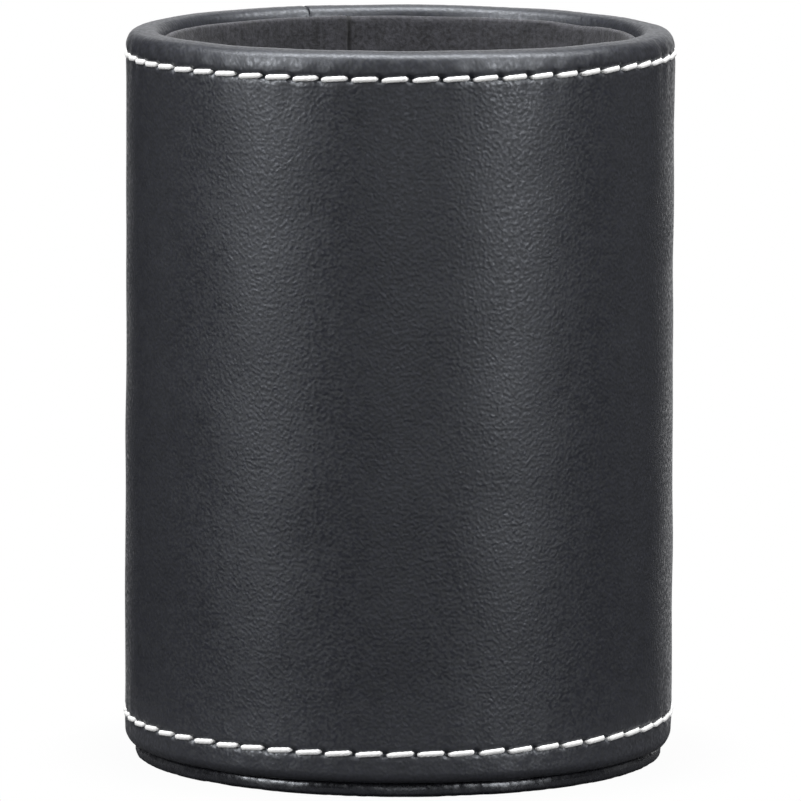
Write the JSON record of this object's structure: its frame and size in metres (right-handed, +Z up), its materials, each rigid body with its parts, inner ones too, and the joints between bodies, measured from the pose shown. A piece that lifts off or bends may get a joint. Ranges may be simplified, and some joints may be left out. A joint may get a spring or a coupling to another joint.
{
  "type": "pen holder",
  "caption": "Round open-topped desk pen cup with a stitched leather cover, a dark lining and a thin leather-covered base plate.",
  "frame": {"origin": "middle of the base plate's underside", "axes": "+Z up along the cup's axis and -Y towards the front, with both sheets' seams at the back"},
  "size_m": [0.076, 0.076, 0.1],
  "materials": {
    "cover_leather": "satin",
    "base_leather": "satin",
    "white_thread": "matte",
    "lining": "matte",
    "greyboard": "matte"
  },
  "bodies": {
    "root": {"outer_cover": "cover_leather", "top_stitching": "white_thread", "bottom_stitching": "white_thread", "top_bobbin_thread": "white_thread", "bottom_bobbin_thread": "white_thread", "core_tube": "greyboard", "floor_board": "greyboard", "lining_wall": "lining", "lining_floor": "lining", "base_cover": "base_leather", "base_board": "greyboard"}
  },
  "joints": []
}
